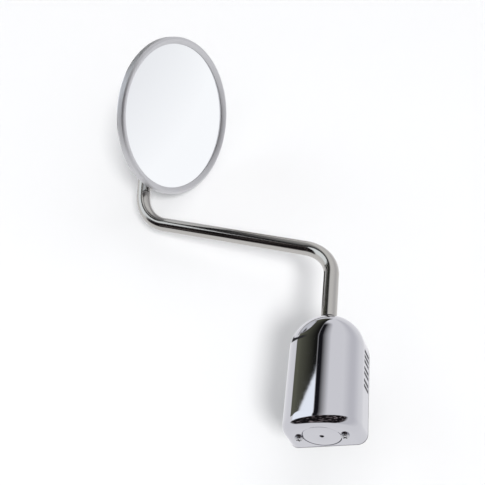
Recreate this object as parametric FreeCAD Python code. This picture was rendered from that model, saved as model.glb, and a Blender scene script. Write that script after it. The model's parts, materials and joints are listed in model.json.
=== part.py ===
import FreeCAD, Part
import math
import os

# A round convex vehicle mirror on a cranked tube arm that swivels in a domed base.
# Millimetres, +Z up. The origin is the centre of the base's flat mounting face.
# +Y points into the panel that the base is fixed to, and the mirror looks along +X and down.

# --- base -------------------------------------------------------------------
BASE_WIDTH = 73.0
BASE_BOTTOM = -60.0
BASE_TOP = 64.5
BASE_DEPTH = 47.0
COVER_WALL = 2.5
FRONT_CROWN_R = 64.0
SIDE_ROUND = 26.0
FOOT_ROUND = 9.2
GASKET_THICK = 1.0
PLATE_THICK = 2.5
PLATE_INSET = 3.2
PLATE_BOTTOM = -55.0
PLATE_CORNER = 8.0
FIXING_X = 54.0
FIXING_Z = 56.0
FIXING_R = 3.3

# --- pivot, on a vertical axis inside the base --------------------------------
PIVOT_Y = -20.0
WEB_THICK = 2.5
WEB_WIDTH = 44.0
LUG_THICK = 8.0
LUG_R = 15.0
LOWER_LUG_Z = -44.0
UPPER_LUG_Z = 36.0
LOWER_LUG_WIDTH = 56.0
LUG_CORNER = 8.0
RIVET_SPREAD_X = 15.0
RIVET_SPREAD_Z = 22.0
WEB_RIVET_R = 2.5
WEB_RIVET_DOME_R = 4.5
WEB_RIVET_DOME_CENTRE = 2.2
BUSH_R = 11.0
BUSH_FLANGE_R = 13.5
BUSH_FLANGE_THICK = 2.0
RUNNING_GAP = 0.05
FRICTION_RING_R = 13.5
FRICTION_RING_THICK = 2.4
FRICTION_RING_GAP = 0.4
COLLAR_R = 13.5
COLLAR_HEIGHT = 10.0
TURNING_GAP = 0.1
CROSS_PIN_R = 2.0
STUD_R = 4.0
STUD_END_Z = -55.8
PLUG_TOP_Z = -18.0
WASHER_GAP = 0.1
SPRING_GAP = 0.2
SPRING_RISE = 0.8
SPRING_APART = 0.02
NUT_GAP = 0.1
THRUST_WASHER_R = 13.0
THRUST_WASHER_THICK = 1.9
DISC_SPRING_R = 11.0
DISC_SPRING_THICK = 0.8
LOCK_NUT_FLATS = 13.0
LOCK_NUT_HEIGHT = 6.0
SEAL_GAP = 0.3
SEAL_R = 9.6
SEAL_DEPTH = 5.0
SEAL_PROUD = 0.2

# --- closing disc under the base -----------------------------------------------
END_DISC_R = 17.6
END_DISC_FLANGE_R = 18.3
END_DISC_FLANGE_THICK = 1.2
END_DISC_HOLE_R = 2.0
DISC_GAP = 0.2
FOOT_SCREW_X = 21.2
FOOT_SCREW_R = 1.75
FOOT_SCREW_HEAD_R = 3.9
FOOT_SCREW_HEAD = 2.4
FOOT_SCREW_HEAD_ROUND = 1.2
FOOT_SCREW_TOP = -39.0
FOOT_SCREW_GAP = 0.15
CROSS_HALF_LENGTH = 2.4
CROSS_HALF_WIDTH = 0.5
CROSS_DEPTH = 1.2

# --- arm tube -------------------------------------------------------------------
TUBE_R = 8.0
TUBE_WALL = 1.5
BEND_R = 40.0
TUBE_FOOT_Z = -43.0
FIRST_CORNER_Z = 150.4
RUN_LENGTH = 239.6
RUN_RISE = 15.4
ARM_SWING = 8.5
POST_LEAN_OUT = 23.8
POST_LEAN_IN = 1.1
POST_TO_FACE = 138.0
TUBE_ABOVE_CLAMP_CENTRE = 16.0
END_CAP_THICK = 3.0
END_CAP_ROUND = 1.5
END_CAP_STEM = 10.0

# --- head -------------------------------------------------------------------------
FACE_DOWN = 22.4
FACE_TURN = -1.6
FACE_STANDOFF = 44.5
GLASS_R = 88.0
SIGHT_R = 85.3
GLASS_CURVE_R = 600.0
GLASS_THICK = 2.2
RIM_R = 93.5
RIM_HEIGHT = 3.9
RIM_SKIRT = 5.0
RIM_THICK = 1.25
RIM_CREST_OUT = 4.6
RIM_SHOULDER = 1.0
RIM_BOW = 0.75
RIM_BOW_IN = 1.05
RIM_EDGE = 0.15
SHELL_DEPTH = 18.0
SHELL_THICK = 1.0
SHELL_LIP = 0.6
SHELL_WALL_END = 7.0
SHELL_FLAT_R = 20.0
SHELL_BOW_R = 62.0
SHELL_BOW_DEPTH = 13.9
BACKING_FRONT = -5.0
BACKING_THICK = 1.2
PAD_R = 80.0
STIFFENER_R = 19.3
STIFFENER_THICK = 2.0
SEAL_LAP = 4.0
FIT_GAP = 0.1

# --- tilting knuckle between head and clamp ------------------------------------------
KNUCKLE_BEHIND = 26.5
BRACKET_THICK = 2.0
BRACKET_HALF_WIDTH = 14.0
BRACKET_HALF_HEIGHT = 17.0
BRACKET_CORNER = 5.0
EAR_R = 5.0
EAR_INNER = 4.2
EAR_THICK = 2.5
TONGUE_HALF = 3.1
TONGUE_R = 5.5
WASHER_INNER = 3.2
TILT_BOLT_R = 3.0
TILT_BOLT_GAP = 0.06
TILT_NUT_FLATS = 10.0
TILT_NUT_THICK = 5.0
TILT_BOLT_HEAD = 3.6
RIVET_R = 2.0
RIVET_HEAD_R = 3.2
RIVET_HEAD_THICK = 1.8
RIVET_HEAD_ROUND = 1.2
BOLT_PAST_NUT = 1.0
RIVET_Y = 9.0
RIVET_Z = 12.0

# --- tube clamp ------------------------------------------------------------------------
LINER_R = 9.0
SADDLE_R = 11.5
CLAMP_HALF_LENGTH = 12.0
CLAMP_SPLIT = 0.4
FLANGE_THICK = 4.0
FLANGE_OUT = 23.0
FLANGE_INSET = 3.0
LINER_PROUD = 0.5
CLAMP_SCREW_Y = 17.0
CLAMP_SCREW_R = 2.5
CLAMP_SCREW_HEAD_R = 4.25
CLAMP_SCREW_HEAD = 3.6
CLAMP_SCREW_HEAD_ROUND = 1.0
SOCKET_FLATS = 4.0
SOCKET_DEPTH = 2.0
CLAMP_NUT_FLATS = 8.0
CLAMP_NUT_THICK = 4.0

# How far a cutting shape reaches past a face, a reach past the whole clamp or bracket,
# and how close two places are that count as one.
PAST = 1.0
REACH = 40.0
NEAR = 0.01

X = FreeCAD.Vector(1, 0, 0)
Y = FreeCAD.Vector(0, 1, 0)
Z = FreeCAD.Vector(0, 0, 1)


def vector(x, y, z):
    return FreeCAD.Vector(x, y, z)


def unit(direction):
    return direction / direction.Length


def turned(degrees):
    return math.cos(math.radians(degrees)), math.sin(math.radians(degrees))


# The arm's directions: the run leaves the pivot towards -X, swung out of the panel's plane
# and rising, and the upper post leans away from the panel.
SWING_COS, SWING_SIN = turned(ARM_SWING)
RISE_COS, RISE_SIN = turned(RUN_RISE)
ALONG = vector(-SWING_COS, -SWING_SIN, 0)
OUTWARD = vector(SWING_SIN, -SWING_COS, 0)
RUN = ALONG * RISE_COS + Z * RISE_SIN
LEAN_OUT = OUTWARD * math.tan(math.radians(POST_LEAN_OUT))
LEAN_IN = ALONG * -math.tan(math.radians(POST_LEAN_IN))
POST = unit(Z + LEAN_OUT + LEAN_IN)
PIVOT_FOOT = vector(0, PIVOT_Y, TUBE_FOOT_Z)
FIRST_CORNER = vector(0, PIVOT_Y, FIRST_CORNER_Z)
SECOND_CORNER = FIRST_CORNER + RUN * RUN_LENGTH

# The face's direction, the tilt axis square to it and to the post, and the centre of the face.
DOWN_COS, DOWN_SIN = turned(FACE_DOWN)
TURN_COS, TURN_SIN = turned(FACE_TURN)
FACE = vector(DOWN_COS * TURN_COS, DOWN_COS * TURN_SIN, -DOWN_SIN)
TILT_AXIS = unit(POST.cross(FACE))
FACE_UP = FACE.cross(TILT_AXIS)
CLAMP_FORWARD = TILT_AXIS.cross(POST)
FACE_CENTRE = SECOND_CORNER + POST * POST_TO_FACE + FACE * FACE_STANDOFF
KNUCKLE = FACE_CENTRE - FACE * KNUCKLE_BEHIND
CLAMP_ALONG_POST = (KNUCKLE - SECOND_CORNER).dot(POST)
CLAMP_CENTRE = SECOND_CORNER + POST * CLAMP_ALONG_POST
KNUCKLE_FORWARD = (KNUCKLE - CLAMP_CENTRE).dot(CLAMP_FORWARD)
POST_END = CLAMP_CENTRE + POST * TUBE_ABOVE_CLAMP_CENTRE


def in_frame(shape, centre, forward, side, up):
    """Moves a shape drawn about the origin so that its X, Y and Z become three directions."""
    moved = shape.copy()
    frame = FreeCAD.Placement(centre, FreeCAD.Rotation(forward, side, up, "ZXY"))
    moved.Placement = frame.multiply(shape.Placement)
    return moved


def on_head(shape):
    return in_frame(shape, FACE_CENTRE, FACE, TILT_AXIS, FACE_UP)


def on_clamp(shape):
    return in_frame(shape, CLAMP_CENTRE, CLAMP_FORWARD, TILT_AXIS, POST)


def box(low, high):
    size = vector(*high) - vector(*low)
    return Part.makeBox(size.x, size.y, size.z, vector(*low))


def cylinder(radius, start, end):
    axis = end - start
    return Part.makeCylinder(radius, axis.Length, start, axis)


def upright(radius, low, high, x=0.0, y=PIVOT_Y):
    """An upright cylinder between two heights, on the pivot axis unless x and y say otherwise."""
    return cylinder(radius, vector(x, y, low), vector(x, y, high))


def upright_ring(inner, outer, low, high):
    return upright(outer, low, high).cut(upright(inner, low - PAST, high + PAST))


def hexagon(flats, height, start, axis, hole_r=0.0):
    """A hexagonal prism from start along axis, with an optional hole."""
    corner_r = flats / math.sqrt(3)
    corners = [vector(*turned(60 * i), 0) * corner_r for i in range(7)]
    prism = Part.Face(Part.makePolygon(corners)).extrude(Z * height)
    if hole_r:
        prism = prism.cut(Part.makeCylinder(hole_r, height))
    prism.Placement = FreeCAD.Placement(start, FreeCAD.Rotation(Z, axis))
    return prism


def spun(edges):
    """A ring or disc: a closed section of (forward, radius) edges, spun about the face's axis."""
    return Part.Face(Part.Wire(edges)).revolve(vector(0, 0, 0), X, 360)


def section_point(forward, radius):
    return vector(forward, 0, radius)


def lines(*pairs):
    points = [section_point(*pair) for pair in pairs]
    return [Part.makeLine(a, b) for a, b in zip(points, points[1:])]


def bow(start, middle, end):
    return Part.Arc(section_point(*start), section_point(*middle), section_point(*end)).toShape()


def save(name, shape):
    shape.exportStep("parts/" + name + ".step")


# --- base -----------------------------------------------------------------------------
def arch_face(width, bottom, top, y):
    """An upright face with straight sides and a half-round top."""
    half = width / 2
    shoulder = top - half
    left_foot = vector(-half, y, bottom)
    right_foot = vector(half, y, bottom)
    left = vector(-half, y, shoulder)
    right = vector(half, y, shoulder)
    edges = [
        Part.makeLine(left_foot, right_foot),
        Part.makeLine(right_foot, right),
        Part.Arc(right, vector(0, y, top), left).toShape(),
        Part.makeLine(left, left_foot),
    ]
    return Part.Face(Part.Wire(edges))


def cover_plan(inset, back, z):
    """The cover's plan at a height: straight sides, round corners and a slightly crowned front."""
    side = BASE_WIDTH / 2 - inset
    corner_x = BASE_WIDTH / 2 - SIDE_ROUND
    crown_y = FRONT_CROWN_R - BASE_DEPTH
    corner_y = crown_y - math.sqrt((FRONT_CROWN_R - SIDE_ROUND) ** 2 - corner_x ** 2)
    front = vector(0, inset - BASE_DEPTH, z)
    towards_corner = unit(vector(corner_x, corner_y - crown_y, 0))
    halfway = unit(towards_corner + X)
    joins = []
    middles = []
    for way in (1, -1):
        join = vector(0, crown_y, z) + towards_corner * (FRONT_CROWN_R - inset)
        middle = vector(corner_x, corner_y, z) + halfway * (SIDE_ROUND - inset)
        joins.append(vector(way * join.x, join.y, z))
        middles.append(vector(way * middle.x, middle.y, z))
    right, left = vector(side, corner_y, z), vector(-side, corner_y, z)
    right_back, left_back = vector(side, back, z), vector(-side, back, z)
    edges = [
        Part.makeLine(right_back, right),
        Part.Arc(right, middles[0], joins[0]).toShape(),
        Part.Arc(joins[0], front, joins[1]).toShape(),
        Part.Arc(joins[1], middles[1], left).toShape(),
        Part.makeLine(left, left_back),
        Part.makeLine(left_back, right_back),
    ]
    return Part.Face(Part.Wire(edges))


def domed_block(inset, back):
    """The cover's outer form, or its hollow when inset by the wall."""
    bottom = BASE_BOTTOM + inset
    shoulder = BASE_TOP - BASE_WIDTH / 2
    plan = cover_plan(inset, back, shoulder)
    right_half = plan.common(box((0, -BASE_DEPTH, shoulder), (BASE_WIDTH, PAST, shoulder + PAST)))
    dome = right_half.revolve(vector(0, 0, shoulder), -Y, 180)
    block = plan.extrude(Z * (bottom - shoulder)).fuse(dome).removeSplitter()
    foot_edges = []
    for edge in block.Edges:
        limits = edge.BoundBox
        if limits.ZMax < bottom + NEAR and limits.YMin < back - NEAR:
            foot_edges.append(edge)
    return block.makeFillet(FOOT_ROUND - inset, foot_edges)


def base_cover():
    cover = domed_block(0.0, -GASKET_THICK).cut(domed_block(COVER_WALL, 0.0))
    inside = BASE_BOTTOM + COVER_WALL + PAST
    cover = cover.cut(upright(SEAL_R, BASE_TOP - SEAL_DEPTH, BASE_TOP + PAST))
    cover = cover.cut(upright(END_DISC_R + DISC_GAP, BASE_BOTTOM - PAST, inside))
    for x in (-FOOT_SCREW_X, FOOT_SCREW_X):
        cover = cover.cut(upright(FOOT_SCREW_R + FOOT_SCREW_GAP, BASE_BOTTOM - PAST, inside, x))
    return cover


def fixing_holes(y_from, y_to):
    holes = []
    for x in (-FIXING_X / 2, FIXING_X / 2):
        for z in (-FIXING_Z / 2, FIXING_Z / 2):
            holes.append(cylinder(FIXING_R, vector(x, y_from, z), vector(x, y_to, z)))
    return Part.makeCompound(holes)


def base_gasket():
    """The flat seal between cover and panel, cut to the cover's own outline."""
    half = BASE_WIDTH / 2 + PAST
    slab = box((-half, -GASKET_THICK, BASE_BOTTOM - PAST), (half, 0, BASE_TOP + PAST))
    return domed_block(0.0, 0.0).common(slab).cut(fixing_holes(PAST, -GASKET_THICK - PAST))


def mount_plate():
    width = BASE_WIDTH - 2 * PLATE_INSET
    outline = arch_face(width, PLATE_BOTTOM, BASE_TOP - PLATE_INSET, -GASKET_THICK)
    plate = outline.extrude(Y * -PLATE_THICK)
    thick_edges = [edge for edge in plate.Edges if edge.BoundBox.YLength > PLATE_THICK - NEAR]
    corners = [edge for edge in thick_edges if edge.BoundBox.ZMax < PLATE_BOTTOM + NEAR]
    plate = plate.makeFillet(PLATE_CORNER, corners)
    return plate.cut(fixing_holes(PAST, BRACKET_BACK - PAST))


BRACKET_BACK = -GASKET_THICK - PLATE_THICK
WEB_RIVET_PLACES = [
    (x, z) for x in (-RIVET_SPREAD_X, RIVET_SPREAD_X) for z in (-RIVET_SPREAD_Z, RIVET_SPREAD_Z)
]


def pivot_bracket():
    """A web on the plate with a lug above and a wider lug below, bored in line."""
    front = BRACKET_BACK - WEB_THICK
    half = WEB_WIDTH / 2
    top = UPPER_LUG_Z + LUG_THICK
    bracket = box((-half, front, LOWER_LUG_Z), (half, BRACKET_BACK, top))
    upper = box((-LUG_R, PIVOT_Y, UPPER_LUG_Z), (LUG_R, BRACKET_BACK, top))
    nose = upright(LUG_R, UPPER_LUG_Z, top)
    half_low = LOWER_LUG_WIDTH / 2
    low_top = LOWER_LUG_Z + LUG_THICK
    lower = box((-half_low, PIVOT_Y - LUG_R, LOWER_LUG_Z), (half_low, BRACKET_BACK, low_top))
    corners = [edge for edge in lower.Edges if edge.BoundBox.YMax < PIVOT_Y - LUG_R + NEAR]
    upright_corners = [edge for edge in corners if edge.BoundBox.XLength < NEAR]
    lower = lower.makeFillet(LUG_CORNER, upright_corners)
    bracket = bracket.fuse([upper, nose, lower]).removeSplitter()
    bracket = bracket.cut(upright(BUSH_R, LOWER_LUG_Z - PAST, top + PAST))
    for x in (-FOOT_SCREW_X, FOOT_SCREW_X):
        bracket = bracket.cut(upright(FOOT_SCREW_R, LOWER_LUG_Z - PAST, low_top + PAST, x))
    for x, z in WEB_RIVET_PLACES:
        hole = cylinder(WEB_RIVET_R, vector(x, front - PAST, z), vector(x, 0, z))
        bracket = bracket.cut(hole)
    return bracket


def web_rivets():
    """Four rivets that hold the bracket's web to the plate."""
    rivets = []
    front = BRACKET_BACK - WEB_THICK
    for x, z in WEB_RIVET_PLACES:
        dome = WEB_RIVET_DOME_R
        head = Part.makeSphere(dome, vector(x, front + WEB_RIVET_DOME_CENTRE, z))
        head = head.common(box((x - dome, front - dome, z - dome), (x + dome, front, z + dome)))
        shank = cylinder(WEB_RIVET_R, vector(x, front, z), vector(x, BRACKET_BACK, z))
        rivets.append(head.fuse(shank).removeSplitter())
    return Part.makeCompound(rivets)


def upper_bush():
    top = UPPER_LUG_Z + LUG_THICK
    flange_top = top + BUSH_FLANGE_THICK
    sleeve = upright(BUSH_R, UPPER_LUG_Z, top).fuse(upright(BUSH_FLANGE_R, top, flange_top))
    return sleeve.removeSplitter().cut(upright(TUBE_R + RUNNING_GAP, 0, flange_top + PAST))


def lower_bush():
    return upright_ring(TUBE_R + RUNNING_GAP, BUSH_R, LOWER_LUG_Z, LOWER_LUG_Z + LUG_THICK)


FRICTION_TOP = LOWER_LUG_Z + LUG_THICK + FRICTION_RING_THICK


def friction_ring():
    inner = TUBE_R + FRICTION_RING_GAP
    return upright_ring(inner, FRICTION_RING_R, LOWER_LUG_Z + LUG_THICK, FRICTION_TOP)


def tube_seal():
    """The ring that keeps water out where the tube enters the cover."""
    low = BASE_TOP - SEAL_DEPTH
    return upright_ring(TUBE_R + SEAL_GAP, SEAL_R, low, BASE_TOP + SEAL_PROUD)


def end_disc():
    inside = BASE_BOTTOM + COVER_WALL
    disc = upright(END_DISC_R, BASE_BOTTOM, inside)
    flange = upright(END_DISC_FLANGE_R, inside, inside + END_DISC_FLANGE_THICK)
    disc = disc.fuse(flange).removeSplitter()
    top = inside + END_DISC_FLANGE_THICK
    return disc.cut(upright(END_DISC_HOLE_R, BASE_BOTTOM - PAST, top + PAST))


def foot_screws():
    """Two pan-head screws that hold the cover and overlap the disc's edge."""
    screws = []
    for x in (-FOOT_SCREW_X, FOOT_SCREW_X):
        head = upright(FOOT_SCREW_HEAD_R, BASE_BOTTOM - FOOT_SCREW_HEAD, BASE_BOTTOM, x)
        rounded = [edge for edge in head.Edges if edge.BoundBox.ZMax < BASE_BOTTOM - PAST]
        head = head.makeFillet(FOOT_SCREW_HEAD_ROUND, rounded)
        long, short = CROSS_HALF_LENGTH, CROSS_HALF_WIDTH
        slot = box((-short, -long, 0), (short, long, CROSS_DEPTH))
        cross = slot.fuse(box((-long, -short, 0), (long, short, CROSS_DEPTH)))
        cross.translate(vector(x, PIVOT_Y, BASE_BOTTOM - FOOT_SCREW_HEAD))
        shank = upright(FOOT_SCREW_R, BASE_BOTTOM, FOOT_SCREW_TOP, x)
        screws.append(head.fuse(shank).removeSplitter().cut(cross))
    return Part.makeCompound(screws)


# --- arm ------------------------------------------------------------------------------
def bend(corner, before, after):
    """Where a bend starts and ends, and a point in its middle."""
    angle = before.getAngle(after)
    setback = BEND_R * math.tan(angle / 2)
    start = corner - before * setback
    end = corner + after * setback
    inward = unit(after - before)
    centre = corner + inward * (BEND_R / math.cos(angle / 2))
    return start, centre - inward * BEND_R, end


def arm_path():
    first = bend(FIRST_CORNER, Z, RUN)
    second = bend(SECOND_CORNER, RUN, POST)
    edges = [
        Part.makeLine(PIVOT_FOOT, first[0]),
        Part.Arc(*first).toShape(),
        Part.makeLine(first[2], second[0]),
        Part.Arc(*second).toShape(),
        Part.makeLine(second[2], POST_END),
    ]
    return Part.Wire(edges)


def bent_rod(radius):
    outline = Part.Wire(Part.makeCircle(radius, PIVOT_FOOT, Z))
    return arm_path().makePipeShell([outline], True, False)


def arm_tube():
    tube = bent_rod(TUBE_R).cut(bent_rod(TUBE_R - TUBE_WALL))
    return tube.cut(pin_form())


PIN_Z = FRICTION_TOP + TURNING_GAP + COLLAR_HEIGHT / 2


def pin_form():
    """The cross pin's form, which is also the hole that it fills."""
    return cylinder(CROSS_PIN_R, vector(-COLLAR_R, PIVOT_Y, PIN_Z), vector(COLLAR_R, PIVOT_Y, PIN_Z))


def cross_pin():
    return pin_form()


def tube_end_cap():
    """A push-in cap that closes the top of the tube."""
    low = TUBE_ABOVE_CLAMP_CENTRE
    top = low + END_CAP_THICK
    lid = Part.makeCylinder(TUBE_R, END_CAP_THICK, vector(0, 0, low))
    rim = [edge for edge in lid.Edges if edge.BoundBox.ZMin > top - NEAR]
    lid = lid.makeFillet(END_CAP_ROUND, rim)
    stem = Part.makeCylinder(TUBE_R - TUBE_WALL, END_CAP_STEM, vector(0, 0, low - END_CAP_STEM))
    return on_clamp(lid.fuse(stem).removeSplitter())


def arm_collar():
    low = FRICTION_TOP + TURNING_GAP
    return upright_ring(TUBE_R, COLLAR_R, low, low + COLLAR_HEIGHT).cut(pin_form())


def spindle_plug():
    """The plug inside the tube's foot, with the threaded stud below it."""
    plug = upright(TUBE_R - TUBE_WALL, TUBE_FOOT_Z, PLUG_TOP_Z)
    stud = upright(STUD_R, STUD_END_Z, TUBE_FOOT_Z)
    return plug.fuse(stud).removeSplitter().cut(pin_form())


WASHER_TOP = LOWER_LUG_Z - TURNING_GAP
WASHER_BOTTOM = WASHER_TOP - THRUST_WASHER_THICK


def thrust_washer():
    return upright_ring(STUD_R + WASHER_GAP, THRUST_WASHER_R, WASHER_BOTTOM, WASHER_TOP)


def cone_ring(outer_top, inner_top):
    """A dished ring, from the heights of its top face at the rim and at the hole."""
    inner_r = STUD_R + SPRING_GAP
    drop = DISC_SPRING_THICK
    points = [
        vector(inner_r, 0, inner_top),
        vector(DISC_SPRING_R, 0, outer_top),
        vector(DISC_SPRING_R, 0, outer_top - drop),
        vector(inner_r, 0, inner_top - drop),
        vector(inner_r, 0, inner_top),
    ]
    ring = Part.Face(Part.makePolygon(points)).revolve(vector(0, 0, 0), Z, 360)
    ring.translate(vector(0, PIVOT_Y, 0))
    return ring


def disc_springs():
    """Two dished spring washers, back to back, that press the pivot together."""
    waist = WASHER_BOTTOM - SPRING_RISE - DISC_SPRING_THICK
    upper = cone_ring(WASHER_BOTTOM, WASHER_BOTTOM - SPRING_RISE)
    lower = cone_ring(waist - SPRING_RISE - SPRING_APART, waist - SPRING_APART)
    return Part.makeCompound([upper, lower])


def lock_nut():
    top = WASHER_BOTTOM - 2 * (SPRING_RISE + DISC_SPRING_THICK) - NUT_GAP
    start = vector(0, PIVOT_Y, top - LOCK_NUT_HEIGHT)
    return hexagon(LOCK_NUT_FLATS, LOCK_NUT_HEIGHT, start, Z, STUD_R)


# --- clamp ----------------------------------------------------------------------------
def clamp_half(side, flange_from, flange_to):
    """Half of the clamp's ring with its two flanges, on the side +1 (front) or -1 (rear)."""
    length = CLAMP_HALF_LENGTH
    low = vector(0, 0, -length)
    half = Part.makeCylinder(SADDLE_R, 2 * length, low)
    low_x, high_x = sorted((side * flange_from, side * flange_to))
    flange_end = length - FLANGE_INSET
    flanges = box((low_x, -FLANGE_OUT, -flange_end), (high_x, FLANGE_OUT, flange_end))
    half = half.fuse(flanges).cut(Part.makeCylinder(LINER_R, 2 * length, low))
    kept_low, kept_high = sorted((side * CLAMP_SPLIT, side * REACH))
    half = half.common(box((kept_low, -REACH, -REACH), (kept_high, REACH, REACH)))
    for y in (-CLAMP_SCREW_Y, CLAMP_SCREW_Y):
        half = half.cut(Part.makeCylinder(CLAMP_SCREW_R, REACH, vector(-REACH / 2, y, 0), X))
    return half


def clamp_saddle():
    """The front half of the clamp, with the tongue that the head tilts on."""
    half = clamp_half(1, CLAMP_SPLIT, CLAMP_SPLIT + FLANGE_THICK)
    inside = SADDLE_R - PAST
    tongue = box((inside, -TONGUE_HALF, -TONGUE_R), (KNUCKLE_FORWARD, TONGUE_HALF, TONGUE_R))
    eye_start = vector(KNUCKLE_FORWARD, -TONGUE_HALF, 0)
    eye = Part.makeCylinder(TONGUE_R, 2 * TONGUE_HALF, eye_start, Y)
    half = half.fuse([tongue, eye]).removeSplitter()
    hole_start = vector(KNUCKLE_FORWARD, -REACH / 2, 0)
    hole = Part.makeCylinder(TILT_BOLT_R + TILT_BOLT_GAP, REACH, hole_start, Y)
    return on_clamp(half.cut(hole))


def clamp_cap():
    return on_clamp(clamp_half(-1, CLAMP_SPLIT, CLAMP_SPLIT + FLANGE_THICK))


def clamp_liner():
    """A plastic sleeve between the clamp and the tube."""
    length = CLAMP_HALF_LENGTH + LINER_PROUD
    low = vector(0, 0, -length)
    sleeve = Part.makeCylinder(LINER_R, 2 * length, low)
    return on_clamp(sleeve.cut(Part.makeCylinder(TUBE_R + RUNNING_GAP, 2 * length, low)))


def clamp_screws():
    screws = []
    back = -CLAMP_SPLIT - FLANGE_THICK
    end = CLAMP_SPLIT + FLANGE_THICK + CLAMP_NUT_THICK + BOLT_PAST_NUT
    for y in (-CLAMP_SCREW_Y, CLAMP_SCREW_Y):
        head = Part.makeCylinder(CLAMP_SCREW_HEAD_R, CLAMP_SCREW_HEAD, vector(back, y, 0), -X)
        rim = [edge for edge in head.Edges if edge.BoundBox.XMax < back - PAST]
        head = head.makeFillet(CLAMP_SCREW_HEAD_ROUND, rim)
        socket_start = vector(back - CLAMP_SCREW_HEAD, y, 0)
        socket = hexagon(SOCKET_FLATS, SOCKET_DEPTH, socket_start, X)
        shank = Part.makeCylinder(CLAMP_SCREW_R, end - back, vector(back, y, 0), X)
        screws.append(head.fuse(shank).removeSplitter().cut(socket))
    return on_clamp(Part.makeCompound(screws))


def clamp_nuts():
    start = CLAMP_SPLIT + FLANGE_THICK
    nuts = []
    for y in (-CLAMP_SCREW_Y, CLAMP_SCREW_Y):
        place = vector(start, y, 0)
        nuts.append(hexagon(CLAMP_NUT_FLATS, CLAMP_NUT_THICK, place, X, CLAMP_SCREW_R))
    return on_clamp(Part.makeCompound(nuts))


# --- head -----------------------------------------------------------------------------
def sphere_drop(curve_r, radius):
    return curve_r - math.sqrt(curve_r ** 2 - radius ** 2)


GLASS_CROWN = sphere_drop(GLASS_CURVE_R, SIGHT_R)


def glass_front(radius):
    return GLASS_CROWN - sphere_drop(GLASS_CURVE_R, radius)


def glass_back(radius):
    return GLASS_CROWN - GLASS_THICK - sphere_drop(GLASS_CURVE_R - GLASS_THICK, radius)


def mirror_glass():
    half = GLASS_R / 2
    edges = [bow((glass_front(0), 0), (glass_front(half), half), (glass_front(GLASS_R), GLASS_R))]
    edges += lines((glass_front(GLASS_R), GLASS_R), (glass_back(GLASS_R), GLASS_R))
    edges += [bow((glass_back(GLASS_R), GLASS_R), (glass_back(half), half), (glass_back(0), 0))]
    edges += lines((glass_back(0), 0), (glass_front(0), 0))
    return on_head(spun(edges))


def foam_pad():
    """Foam that fills the space between the glass and the backing plate."""
    half = PAD_R / 2
    top = [(glass_back(r) - FIT_GAP, r) for r in (0, half, PAD_R)]
    edges = [bow(*top)]
    edges += lines(top[2], (BACKING_FRONT, PAD_R), (BACKING_FRONT, 0), top[0])
    return on_head(spun(edges))


def backing_plate():
    back = BACKING_FRONT - BACKING_THICK
    outer = RIM_R - RIM_THICK - SHELL_THICK - 2 * FIT_GAP
    edges = lines((BACKING_FRONT, 0), (BACKING_FRONT, outer), (back, outer), (back, 0),
                  (BACKING_FRONT, 0))
    return on_head(spun(edges))


def glass_seal():
    """The rubber ring that seats the glass's edge in the shell."""
    outer = RIM_R - RIM_THICK - SHELL_THICK - FIT_GAP
    lip = GLASS_R - SEAL_LAP
    under = glass_back(GLASS_R) - FIT_GAP
    edge = GLASS_R + FIT_GAP
    edges = lines((BACKING_FRONT, lip), (BACKING_FRONT, outer), (FIT_GAP, outer), (FIT_GAP, edge),
                  (under, edge), (under, lip), (BACKING_FRONT, lip))
    return on_head(spun(edges))


def rim_bezel():
    """The sloping metal rim round the glass, with a skirt over the shell's wall."""
    crest = (RIM_HEIGHT, SIGHT_R + RIM_CREST_OUT)
    shoulder = (RIM_SHOULDER, RIM_R)
    middle = (RIM_HEIGHT - RIM_BOW, RIM_R - RIM_BOW_IN)
    skirt_in = RIM_R - RIM_THICK
    inner_edge = (RIM_EDGE, SIGHT_R)
    under_crest = (RIM_HEIGHT - RIM_THICK, SIGHT_R + RIM_CREST_OUT)
    under_edge = (2 * RIM_EDGE, SIGHT_R + 2 * RIM_THICK)
    edges = lines(inner_edge, crest)
    edges += [bow(crest, middle, shoulder)]
    edges += lines(shoulder, (-RIM_SKIRT, RIM_R), (-RIM_SKIRT, skirt_in),
                   (RIM_SHOULDER - FIT_GAP, skirt_in), under_crest, under_edge, inner_edge)
    return on_head(spun(edges))


def back_shell():
    """The dished pan behind the glass."""
    outer = RIM_R - RIM_THICK
    inner = outer - SHELL_THICK
    wall = -SHELL_WALL_END
    deep = -SHELL_DEPTH
    floor = deep + SHELL_THICK
    edges = lines((SHELL_LIP, inner), (SHELL_LIP, outer), (wall, outer))
    edges += [bow((wall, outer), (-SHELL_BOW_DEPTH, SHELL_BOW_R), (deep, SHELL_FLAT_R))]
    edges += lines((deep, SHELL_FLAT_R), (deep, 0), (floor, 0), (floor, SHELL_FLAT_R))
    edges += [bow((floor, SHELL_FLAT_R), (SHELL_THICK - SHELL_BOW_DEPTH, SHELL_BOW_R), (wall, inner))]
    edges += lines((wall, inner), (SHELL_LIP, inner))
    return on_head(spun(edges).cut(bracket_rivet_shanks()))


def bracket_rivet_shanks():
    shanks = []
    back = -SHELL_DEPTH - BRACKET_THICK
    front = -SHELL_DEPTH + SHELL_THICK + STIFFENER_THICK
    for y in (-RIVET_Y, RIVET_Y):
        for z in (-RIVET_Z, RIVET_Z):
            shanks.append(Part.makeCylinder(RIVET_R, front - back, vector(back, y, z), X))
    return Part.makeCompound(shanks)


def stiffener_plate():
    """A steel disc inside the shell, where the bracket is riveted on."""
    back = -SHELL_DEPTH + SHELL_THICK
    disc = Part.makeCylinder(STIFFENER_R, STIFFENER_THICK, vector(back, 0, 0), X)
    return on_head(disc.cut(bracket_rivet_shanks()))


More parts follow.
